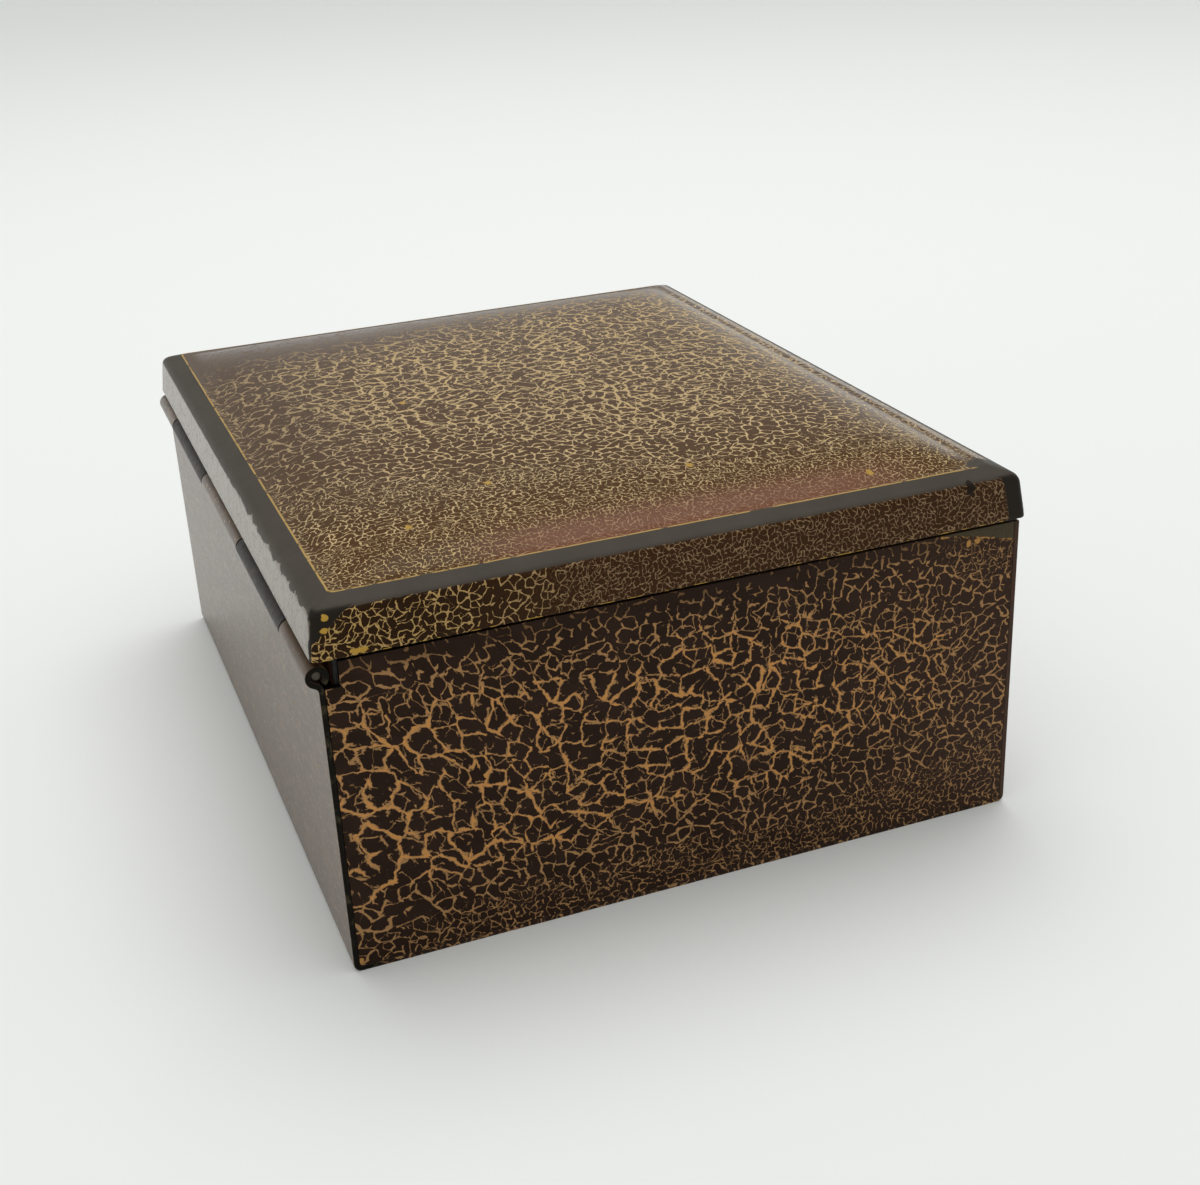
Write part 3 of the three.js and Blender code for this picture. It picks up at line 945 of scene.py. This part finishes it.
def side_plate(side, name, node, skin_shift, coarse_at):
    """A flat sheet of Y and Z at one end of the box, with round lower corners and a notch beside the
    hinge tube."""
    radius = FOLD_RADIUS - SHEET
    straight_end = PLATE_EDGE - radius
    straight_foot = PLATE_FOOT + radius
    notch_y = HINGE_Y - KNUCKLE_RADIUS - NOTCH_MARGIN
    notch_z = HINGE_Z - KNUCKLE_RADIUS - NOTCH_FLOOR_MARGIN
    corner = np.linspace(0, radius, PLATE_CORNER_STEPS + 1)
    ends = PLATE_EDGE - corner[::-1]
    y = follow_on(-ends[::-1], stations([-straight_end, notch_y, straight_end]), ends)
    z = follow_on(PLATE_FOOT + corner, stations([straight_foot, notch_z, RIM_Z]))
    if side < 0:
        y = y[::-1]
    y_grid, z_grid = np.meshgrid(y, z, indexing="ij")
    kept_y = (y[:-1] + y[1:])[:, None] / 2
    kept_z = (z[:-1] + z[1:])[None, :] / 2
    kept = ~((kept_y > notch_y) & (kept_z > notch_z))
    round_y, round_z = to_round_corner(np.abs(y_grid) - straight_end, straight_foot - z_grid, radius)
    plate_y = np.sign(y_grid) * (round_y + straight_end)
    plate_z = straight_foot - round_z
    from_ends = ramp(0, WAVER_MARGIN, PLATE_EDGE - np.abs(plate_y))
    inwards = from_ends * ramp(0, WAVER_MARGIN, plate_z - PLATE_FOOT)
    hollow = SHEET_WAVER * inwards * (waver(plate_y, plate_z, WAVER_LENGTH) - 1)
    plate_x = side * (HALF_WIDTH - SHEET / 2 + hollow)
    from_hinge = PLATE_EDGE - plate_y
    fields = plate_fields(from_hinge, plate_z, skin_shift, coarse_at(from_hinge, plate_z))
    finishes = [PLATE_LACQUER, INSIDE_ENAMEL, CUT_EDGE]
    piece = sheet_piece(name, triples(plate_x, plate_y, plate_z), kept, fields, finishes)
    belongs(piece, "box", node)


LEFT_CLOSES = (48, 94)
LEFT_RIM_CLOSES = (25, 37)
LEFT_FOOT = 1.5
LEFT_FOOT_TOP = 13
LEFT_FOOT_CLIMB = 0.07
LEFT_PATCH_LENGTH = 24


def coarse_left(from_hinge, z):
    """Cracks gape at the hinge end and in the middle, and close up towards the far end, the foot and the
    rim."""
    along = 0.95 - 0.6 * ramp(*LEFT_CLOSES, from_hinge)
    up = 0.14 + 0.86 * ramp(LEFT_FOOT, LEFT_FOOT_TOP + LEFT_FOOT_CLIMB * from_hinge, z)
    down = 1 - 0.55 * ramp(*LEFT_RIM_CLOSES, z)
    return np.clip(along * up * down + 0.1 * waver(from_hinge, z, LEFT_PATCH_LENGTH), 0, 1)


RIGHT_OPENS = (5, 50)
RIGHT_FOOT_OPENS = (0, 12)
RIGHT_RIM_CLOSES = (40, 24)
RIGHT_PATCH_LENGTH = 28
RIGHT_SKIN_SHIFT = 140.0


def coarse_right(from_hinge, z):
    """The far plate's own patches of coarser and finer cracks."""
    along = ramp(*RIGHT_OPENS, from_hinge)
    up = ramp(*RIGHT_FOOT_OPENS, z) * ramp(*RIGHT_RIM_CLOSES, z)
    return np.clip(along * (0.2 + 0.7 * up) + 0.15 * waver(from_hinge, z, RIGHT_PATCH_LENGTH), 0, 1)


# Lid

def ring_stations():
    """Where a ring's points lie on any rounded rectangle: their share of the way to the corner centres in
    X and in Y, and the angle of the rounding, from halfway round the corner at +X and +Y."""
    corner_x = np.array([1, -1, -1, 1, 1])
    corner_y = np.array([1, 1, -1, -1, 1])
    round_share = np.linspace(0, 1, CORNER_STEPS + 1)
    side_share = np.linspace(0, 1, SIDE_STEPS + 1)[1:-1]
    at = np.concatenate([0 * round_share, side_share])
    turn = np.concatenate([round_share, np.ones_like(side_share)])
    runs = []
    for quarter in range(4):
        x = corner_x[quarter] + at * (corner_x[quarter + 1] - corner_x[quarter])
        y = corner_y[quarter] + at * (corner_y[quarter + 1] - corner_y[quarter])
        runs.append(np.stack([x, y, (quarter + turn) * math.pi / 2], axis=1))
    return np.roll(np.concatenate(runs), -CORNER_STEPS // 2, axis=0).T


def rings(half_x, half_y, radius):
    """A grid of points, one row for each rounded rectangle of these half sizes and corner radius."""
    share_x, share_y, angle = ring_stations()
    half_x, half_y, radius = (np.asarray(size, float)[:, None] for size in (half_x, half_y, radius))
    x = share_x * (half_x - radius) + radius * np.cos(angle)
    y = share_y * (half_y - radius) + radius * np.sin(angle)
    return x, y


def capped(grid, middles):
    """Points and faces of a closed form: a grid of rings, with a fan of triangles from one middle to the
    first ring and from another to the last."""
    rows, columns = grid.shape[:2]
    points = np.concatenate([grid.reshape(-1, 3), middles])
    ring = np.arange(columns)
    after = np.roll(ring, -1)
    last = (rows - 1) * columns
    first_fan = np.stack([np.full(columns, rows * columns), ring, after], axis=1)
    last_fan = np.stack([np.full(columns, rows * columns + 1), last + after, last + ring], axis=1)
    quads = grid_quads(rows, columns, closed=True).reshape(-1, 4)
    return points, quads.tolist() + first_fan.tolist() + last_fan.tolist()


def dome_height(x, y):
    """A pillow inside a narrow ledge: part gentle swell, an arch of power 2 across X times one across Y,
    and part full cushion, the same with a high power. Its foot is hollow: the square root of the height
    squared plus the foot squared, less the foot."""
    across_x = np.minimum(np.abs(x / (DOME_HALF_X - DOME_LEDGE)), 1)
    across_y = np.minimum(np.abs(y / (DOME_HALF_Y - DOME_LEDGE)), 1)
    swell = (1 - across_x ** 2) * (1 - across_y ** 2)
    cushion = (1 - across_x ** DOME_FULLNESS) * (1 - across_y ** DOME_FULLNESS)
    crown = math.sqrt((DOME_RISE + DOME_FOOT) ** 2 - DOME_FOOT ** 2)
    height = crown * (DOME_SWELL * swell + (1 - DOME_SWELL) * cushion)
    return np.sqrt(height ** 2 + DOME_FOOT ** 2) - DOME_FOOT


LOWER_EASE = 0.2
BAND_STEP = 0.35
SKIRT_STEP = 0.8


def lid_profile():
    """The lid's edge as inset and height from its lower edge: along the band from past the dome's foot,
    round the skirt's top, down the leaning skirt, round its lower edge and up the inside. Also how many
    points lie outside."""
    band_inner = (BAND_INSET, BAND_TOP)
    corner = (SKIRT_LEAN, SKIRT_HEIGHT)
    lower = (0.0, 0.0)
    lower_inside = (SHEET, 0.0)
    upper_inside = (SKIRT_LEAN + SHEET, SKIRT_HEIGHT - SHEET)
    shoulder = eased(corner, band_inner, lower, SKIRT_ROUND, SHOULDER_STEPS)
    outer_ease = eased(lower, corner, lower_inside, LOWER_EASE, LOWER_EASE_STEPS)
    inner_ease = eased(lower_inside, lower, upper_inside, LOWER_EASE, LOWER_EASE_STEPS)
    band = straight(band_inner, shoulder[0], BAND_STEP)
    skirt = straight(shoulder[-1], outer_ease[0], SKIRT_STEP)
    outside = follow_on(band, shoulder, skirt, outer_ease)[1:]
    return np.concatenate([outside, inner_ease, [upper_inside]]), len(outside)


DOME_RINGS = 23
FOOT_RINGS = 20


def dome_rings():
    """X and Y of the dome's rings, evenly spaced from its middle to its foot and closer together there."""
    share = np.linspace(0, 1, DOME_RINGS + 1)[1:]
    foot = np.linspace(FOOT_WIDTH, 0, FOOT_RINGS + 1)[1:]
    half_x = np.concatenate([share * (DOME_HALF_X - FOOT_WIDTH), DOME_HALF_X - foot])
    half_y = np.concatenate([share * (DOME_HALF_Y - FOOT_WIDTH), DOME_HALF_Y - foot])
    return rings(half_x, half_y, np.concatenate([share * BAND_CORNER, np.full(len(foot), BAND_CORNER)]))


def lid_shell():
    """One pressed sheet: rings from the dome's middle to its foot, rings along the lid's profile, and the
    dome's rings back again a sheet lower, closed by a fan at either middle."""
    dome_x, dome_y = dome_rings()
    dome_z = LID_BASE + BAND_TOP + dome_height(dome_x, dome_y)

    profile, outside_count = lid_profile()
    edge_radius = np.maximum(SKIRT_CORNER - profile[:, 0], BAND_CORNER)
    edge_x, edge_y = rings(LID_HALF_X - profile[:, 0], LID_HALF_Y - profile[:, 0], edge_radius)
    edge_z = np.broadcast_to(LID_BASE + profile[:, 1:], edge_x.shape)

    x = np.concatenate([dome_x, edge_x, dome_x[::-1]])
    y = np.concatenate([dome_y, edge_y, dome_y[::-1]])
    z = np.concatenate([dome_z, edge_z, dome_z[::-1] - SHEET])
    middles = [[0, 0, LID_HIGH[2]], [0, 0, LID_HIGH[2] - SHEET]]
    points, faces = capped(triples(x, y, z), middles)

    rows, columns = x.shape
    outer_rows = len(dome_x) + outside_count - 1
    row_of_quad = np.repeat(np.arange(rows - 1), columns)
    inside = np.concatenate([row_of_quad >= outer_rows, np.zeros(columns, bool), np.ones(columns, bool)])
    fields = lid_fields(x, y, len(dome_x), profile, edge_x[outside_count], edge_y[outside_count])
    with_middles = {name: np.concatenate([values.reshape(-1, 3), values[0, :1], values[-1, :1]])
                    for name, values in fields.items()}
    finishes = [LID_LACQUER, INSIDE_ENAMEL]
    piece = make_piece("lid_shell_pressed", points, faces, with_middles, finishes, inside)
    belongs(piece, "lid", "lid_shell")


FRONT_CREEP = 1.5
CREEP_INSET = 0.3
LID_GRAIN = 0.8
SKIRT_GRAIN = 0.56
SKIRT_SHIFT = 300
DOME_PATCH_LENGTH = 34

# Zones of the lid's finish, from where each starts to where it is full, along X or Y or in from the edge
DOME_COARSENS = (-46, -4)
COARSE_LEAN = 0.35
NEAR_FRONT_Y = (-8, -34)
NEAR_FRONT_X = (5, -25)
SKIRT_COARSENS = (4, 26)
SKIRT_GAPES = (24, 38)
# Where a grazing sheen is painted on the dome: towards the far edge, and along the hinge towards the far
# end.
FAR_SHEEN_PAINTS = (24, 47)
SHEEN_LEAN = 0.25
HINGE_SHEEN_PAINTS_Y = (18, 36)
HINGE_SHEEN_PAINTS_X = (-40, -5)
STRIP_WARMS_X = (-41, -46.5)
STRIP_ENDS_HINGE = (26, 14)
STRIP_ENDS_FRONT = (-34, -20)
SKIRT_WARMS = (32, 8)
FRONT_POLISHES = (-34.5, -37)
EDGE_CALMS = (0, 6)


def lid_coarse(x, y, on_skirt):
    """Coarseness of the lid's cracks: on the dome finer towards the near edge, the near front corner and
    all its edges, and on the skirt coarser towards the hinge."""
    near_front = ramp(*NEAR_FRONT_Y, y) * ramp(*NEAR_FRONT_X, x)
    dome = 0.1 + 0.74 * ramp(*DOME_COARSENS, x - COARSE_LEAN * y) * (1 - 0.55 * near_front)
    dome += 0.06 * waver(x, y, DOME_PATCH_LENGTH)
    from_edge = np.minimum(DOME_HALF_X - np.abs(x), DOME_HALF_Y - np.abs(y))
    dome *= 0.75 + 0.25 * ramp(*EDGE_CALMS, from_edge)
    skirt = 0.1 + 0.38 * ramp(*SKIRT_COARSENS, y) + 0.14 * ramp(*SKIRT_GAPES, y)
    return np.where(on_skirt, skirt, dome)


def lid_fields(x, y, dome_rows, profile, low_x, low_y):
    """What the lid's lacquer reads: its own coordinates on dome and skirt with the polish; the
    coarseness, painted sheen and warmth; the distance outwards from the pinstripe, along a side from its
    corner, and the rear."""
    run = run_along(np.concatenate([[[BAND_INSET, BAND_TOP]], profile]))[1:]
    dome_out = np.abs(y[:dome_rows]).max(axis=1) - DOME_HALF_Y
    front = ramp(LID_HALF_Y - SKIRT_CORNER, LID_HALF_Y - CREEP_INSET, -low_y)
    outwards = np.concatenate([dome_out, run, dome_out[::-1]])[:, None] - FRONT_CREEP * front
    around = run_along(np.stack([low_x, low_y], axis=1))
    along_x = np.abs(low_x) / LID_HALF_X < np.abs(low_y) / LID_HALF_Y
    from_corner = np.where(along_x, LID_HALF_X - np.abs(low_x), LID_HALF_Y - np.abs(low_y))
    on_skirt = outwards > BAND_WIDTH / 2
    skin_u = np.where(on_skirt, around / SKIRT_GRAIN + SKIRT_SHIFT, x / LID_GRAIN)
    skin_v = np.where(on_skirt, outwards / SKIRT_GRAIN, y / LID_GRAIN)
    rear = np.where(on_skirt & along_x & (y > 0), 1.0, 0.0)
    # Sheen painted paler on the dome's far edge and hinge side, and on the whole rear skirt.
    far_painted_sheen = ramp(*FAR_SHEEN_PAINTS, x + SHEEN_LEAN * y)
    hinge_painted_sheen = 0.5 * ramp(*HINGE_SHEEN_PAINTS_Y, y) * ramp(*HINGE_SHEEN_PAINTS_X, x)
    painted_sheen = np.where(on_skirt, rear, np.maximum(far_painted_sheen, hinge_painted_sheen))
    strip_length = ramp(*STRIP_ENDS_HINGE, y) * ramp(*STRIP_ENDS_FRONT, y)
    near_strip = ramp(*STRIP_WARMS_X, x) * strip_length
    warm = np.where(on_skirt, ramp(*SKIRT_WARMS, y), near_strip)
    polish = np.where(on_skirt, 0.0, 0.35 * ramp(*FRONT_POLISHES, y))
    return {
        "skin": triples(skin_u, skin_v, polish),
        "lay": triples(lid_coarse(x, y, on_skirt), painted_sheen, warm),
        "border": triples(outwards, from_corner, rear),
    }


def lid_hinge_leaf():
    """A strip up the inside of the rear skirt, carried along X. Below the skirt its line goes on into a
    curl under the pin, kept only where the lid has a knuckle."""
    offset = LID_HALF_Y - SHEET - LEAF_SEAM - SHEET / 2 - HINGE_Y
    rise = LEAF_TOP - LID_BASE
    lean = SKIRT_LEAN * rise / (SKIRT_HEIGHT - SHEET)
    edge = (HINGE_Y + offset, LID_BASE)
    strip = straight((HINGE_Y + offset - lean, LEAF_TOP), edge, LEAF_STEP)
    curl = knuckle_line(offset) * (1, -1) + (HINGE_Y, HINGE_Z)
    line = follow_on(strip, straight(edge, curl[0], LEAF_FOOT_STEP), curl)
    x = stations(np.concatenate([[-LEAF_HALF], knuckle_ends()[[1, 3]].ravel(), [LEAF_HALF]]))
    points = triples(x, line[:, :1], line[:, 1:])
    is_strip = np.arange(len(line) - 1) < len(strip) - 1
    kept = is_strip[:, None] | in_knuckles(x, [1, 3])
    piece = sheet_piece("lid_hinge_leaf_rolled", points[:, ::-1], kept[:, ::-1], {}, [LEAF_LACQUER] * 3)
    belongs(piece, "lid", "lid_hinge_leaf")


# Pin and boards

EASE_STEPS = 4
PIN_EASE = 0.15
PIN_SIDES = 32
BOARD_EASE = 0.35


def turned_piece(name, grid, finish):
    """A closed piece from a grid of rings, capped from the middles of the first and the last."""
    points, faces = capped(grid, [grid[0].mean(axis=0), grid[-1].mean(axis=0)])
    return make_piece(name, points, faces, {}, [finish])


def end_ease(length, radius):
    """Places along a length and how far a section is drawn in there: quarter circles of this radius at
    both ends."""
    turn = np.linspace(0, math.pi / 2, EASE_STEPS + 1)
    start = radius * (1 - np.cos(turn))
    drawn_in = radius * (1 - np.sin(turn))
    places = np.concatenate([start, length - start[::-1]])
    return places, np.concatenate([drawn_in, drawn_in[::-1]])


def hinge_pin():
    """A round wire along X with eased ends: circles whose radius follows a quarter circle at either end."""
    places, drawn_in = end_ease(PIN_HIGH[0] - PIN_LOW[0], PIN_EASE)
    angle = np.linspace(0, 2 * math.pi, PIN_SIDES + 1)[:-1]
    radius = (PIN_RADIUS - drawn_in)[:, None]
    x = (PIN_LOW[0] + places)[:, None]
    grid = triples(x, HINGE_Y + radius * np.cos(angle), HINGE_Z + radius * np.sin(angle))
    piece = turned_piece("hinge_pin_wire", grid[:, ::-1], PIN_WIRE)
    belongs(piece, "box", "hinge_pin")


def lining_board(node, along, finish):
    """A planed board: a rounded rectangle carried along one axis, drawn in at both ends by a quarter
    circle."""
    low, high = node_box(node)
    across = [axis for axis in range(3) if axis != along]
    half = (high - low)[across] / 2
    middle = (high + low)[across] / 2
    places, drawn_in = end_ease(high[along] - low[along], BOARD_EASE)
    first, second = rings(half[0] - drawn_in, half[1] - drawn_in, np.full(len(places), BOARD_EASE))
    grid = np.empty((*first.shape, 3))
    grid[..., along] = (low[along] + places)[:, None]
    grid[..., across[0]] = middle[0] + first
    grid[..., across[1]] = middle[1] + second
    if along != 1:
        grid = grid[:, ::-1]
    piece = turned_piece(node + "_board", grid, finish)
    belongs(piece, "box", node)


# Floor, light and camera

CAMERA_DISTANCE = 243.4
CAMERA_RIGHT = 6.81
CAMERA_UP = 14.99
CAMERA_AZIMUTH = math.radians(249.84)
CAMERA_ELEVATION = math.radians(24.35)
CAMERA_ROLL = math.radians(-2.92)
CAMERA_LENS = 51.09
CAMERA_CLIP = 10.0
FLOOR_HALF = 3000.0
FLOOR_PALE = (0.88, 0.885, 0.87, 1.0)
SKY_PALE = (0.98, 1.0, 0.99, 1.0)
SKY_BASE = 0.18
HORIZON_DIMS = (0.05, 0.36)
OVERHEAD_BRIGHTENS = (0.5, 0.85)
OVERHEAD = 0.92
LAMP_PLACE = (0.25, -0.12, 0.85)
LAMP_SIZE = 0.7
LAMP_POWER = 2.7


def place_camera():
    """Looks from the azimuth and elevation, turned by the roll, and stands back from the box's origin,
    then moves right and up in its own picture plane."""
    tilt = Matrix.Rotation(math.pi / 2 - CAMERA_ELEVATION, 3, "X")
    turn = Matrix.Rotation(CAMERA_AZIMUTH, 3, "Z") @ tilt @ Matrix.Rotation(CAMERA_ROLL, 3, "Z")
    stand = turn @ Vector((CAMERA_RIGHT, CAMERA_UP, CAMERA_DISTANCE)) * MM
    data = bpy.data.cameras.new("camera")
    data.lens = CAMERA_LENS
    data.clip_start = CAMERA_CLIP * MM
    camera = bpy.data.objects.new("camera", data)
    bpy.context.scene.collection.objects.link(camera)
    camera.matrix_world = Matrix.LocRotScale(stand, turn, None)
    bpy.context.scene.camera = camera


def pale_floor():
    """A plain white table top, level with the underside of the box."""
    material, _ = new_material("pale_floor")
    dress(material, {"Base Color": FLOOR_PALE, "Roughness": 0.9, "Specular IOR Level": 0.1})
    ends = np.array([-FLOOR_HALF, FLOOR_HALF])
    points = triples(ends[:, None], ends, 0).reshape(-1, 3)
    faces = grid_quads(2, 2).reshape(-1, 4)[:, ::-1].tolist()
    floor = make_piece("table_top", points, faces, {}, [material])


def soft_light():
    """A pale sky that is bright at the horizon and overhead and dimmer in between, and one broad lamp,
    high up on the front side."""
    world = bpy.data.worlds.new("studio")
    world.use_nodes = True
    background = world.node_tree.nodes["Background"]
    background.inputs["Color"].default_value = SKY_PALE
    _, _, height = parts_of(new_node(world.node_tree, "ShaderNodeTexCoord", output="Generated"))
    glow = (1.0 - height.step(*HORIZON_DIMS)) + height.step(*OVERHEAD_BRIGHTENS) * OVERHEAD + SKY_BASE
    feed(background.inputs["Strength"], glow)
    bpy.context.scene.world = world
    data = bpy.data.lights.new("broad_lamp", "AREA")
    data.shape = "DISK"
    data.size = LAMP_SIZE
    data.energy = LAMP_POWER
    lamp = bpy.data.objects.new("broad_lamp", data)
    lamp.location = LAMP_PLACE
    lamp.rotation_euler = (-lamp.location).to_track_quat("-Z", "Y").to_euler()
    bpy.context.scene.collection.objects.link(lamp)


WRAP_LACQUER = wrap_lacquer()
PLATE_LACQUER = plate_lacquer()
LID_LACQUER = lid_lacquer()
INSIDE_ENAMEL = inside_enamel()
CUT_EDGE = cut_edge()
LEAF_LACQUER = leaf_lacquer()
PIN_WIRE = pin_wire()
CEDAR_ALONG_X = cedar("cedar_along_x", (CEDAR_STRETCH, 1.0, 1.0))
CEDAR_ALONG_Y = cedar("cedar_along_y", (1.0, CEDAR_STRETCH, 1.0))

place_camera()
pale_floor()
soft_light()
body_wrap()
side_plate(-1, "side_plate_left_sheet", "side_plate_left", 0.0, coarse_left)
side_plate(1, "side_plate_right_sheet", "side_plate_right", RIGHT_SKIN_SHIFT, coarse_right)
hinge_pin()
lid_shell()
lid_hinge_leaf()
for board in ("liner_floor", "liner_front", "liner_back"):
    lining_board(board, 0, CEDAR_ALONG_X)
for board in ("liner_left", "liner_right"):
    lining_board(board, 1, CEDAR_ALONG_Y)

bpy.context.scene.view_settings.view_transform = "Standard"
